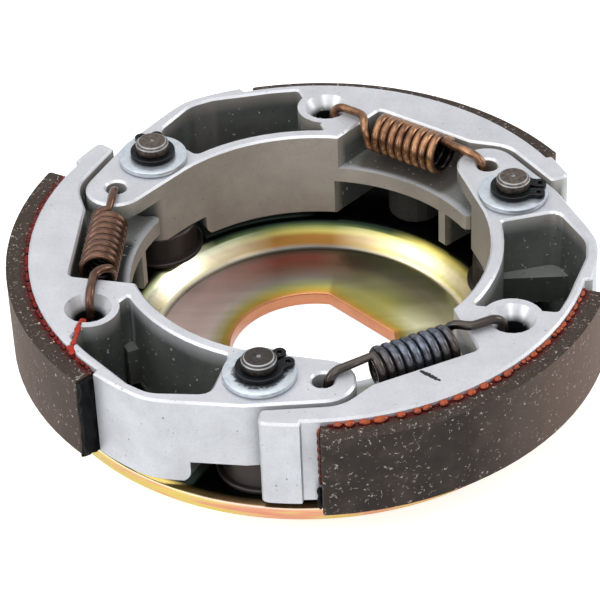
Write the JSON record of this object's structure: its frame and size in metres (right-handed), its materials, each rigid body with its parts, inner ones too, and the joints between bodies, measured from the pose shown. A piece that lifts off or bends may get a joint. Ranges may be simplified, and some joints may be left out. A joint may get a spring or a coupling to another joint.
{
  "type": "centrifugal clutch",
  "caption": "Centrifugal clutch with pivoted, spring-held shoes and bonded curved linings on a dished drive plate with a double-flat spindle hole.",
  "frame": {"origin": "on the clutch axis, level with the underside of the drive plate's dished floor", "axes": "+Z along the clutch axis from the drive plate towards the circlip side; shoe 1's pivot lies 16.5 degrees from +X towards +Y, and shoes 2 and 3 follow clockwise from above"},
  "size_m": [0.1031, 0.106, 0.0302],
  "materials": {
    "cast_aluminium": "tumbled die casting, matt silver with bright worn edges",
    "friction_lining": "moulded friction compound, dark brown-grey with pale fibres",
    "yellow_zinc_steel": "pressed steel, iridescent yellow zinc passivate",
    "pin_steel": "turned steel, dull brown-grey",
    "zinc_washer": "blue-white zinc plate",
    "black_clip": "blackened spring steel",
    "black_spring_wire": "oiled blue-black spring steel",
    "bronzed_spring_wire": "bronzed spring steel",
    "damper_rubber": "plain black rubber"
  },
  "bodies": {
    "carrier": {"drive_plate": "yellow_zinc_steel", "pivot_pin_1": "pin_steel", "pivot_pin_2": "pin_steel", "pivot_pin_3": "pin_steel", "washer_1": "zinc_washer", "washer_2": "zinc_washer", "washer_3": "zinc_washer", "circlip_1": "black_clip", "circlip_2": "black_clip", "circlip_3": "black_clip", "damper_stud_1": "pin_steel", "damper_stud_2": "pin_steel", "damper_stud_3": "pin_steel", "damper_rubber_1": "damper_rubber", "damper_rubber_2": "damper_rubber", "damper_rubber_3": "damper_rubber"},
    "weight_1": {"shoe_1": "cast_aluminium", "lining_1": "friction_lining", "spring_1": "black_spring_wire"},
    "weight_2": {"shoe_2": "cast_aluminium", "lining_2": "friction_lining", "spring_2": "bronzed_spring_wire"},
    "weight_3": {"shoe_3": "cast_aluminium", "lining_3": "friction_lining", "spring_3": "bronzed_spring_wire"}
  },
  "joints": [
    {"name": "shoe_1_swing", "type": "hinge", "parent": "carrier", "child": "weight_1", "pos_m": [0.03663, 0.01085, 0.0197], "axis": [0, 0, 1], "range_deg": [0, 4], "stiffness_Nm_per_rad": 6, "springref_deg": -2.86, "deforming": ["spring_1"]},
    {"name": "shoe_2_swing", "type": "hinge", "parent": "carrier", "child": "weight_2", "pos_m": [-0.00892, -0.03714, 0.0197], "axis": [0, 0, 1], "range_deg": [0, 4], "stiffness_Nm_per_rad": 6, "springref_deg": -2.86, "deforming": ["spring_2"]},
    {"name": "shoe_3_swing", "type": "hinge", "parent": "carrier", "child": "weight_3", "pos_m": [-0.02771, 0.0263, 0.0197], "axis": [0, 0, 1], "range_deg": [0, 4], "stiffness_Nm_per_rad": 6, "springref_deg": -2.86, "deforming": ["spring_3"]}
  ]
}
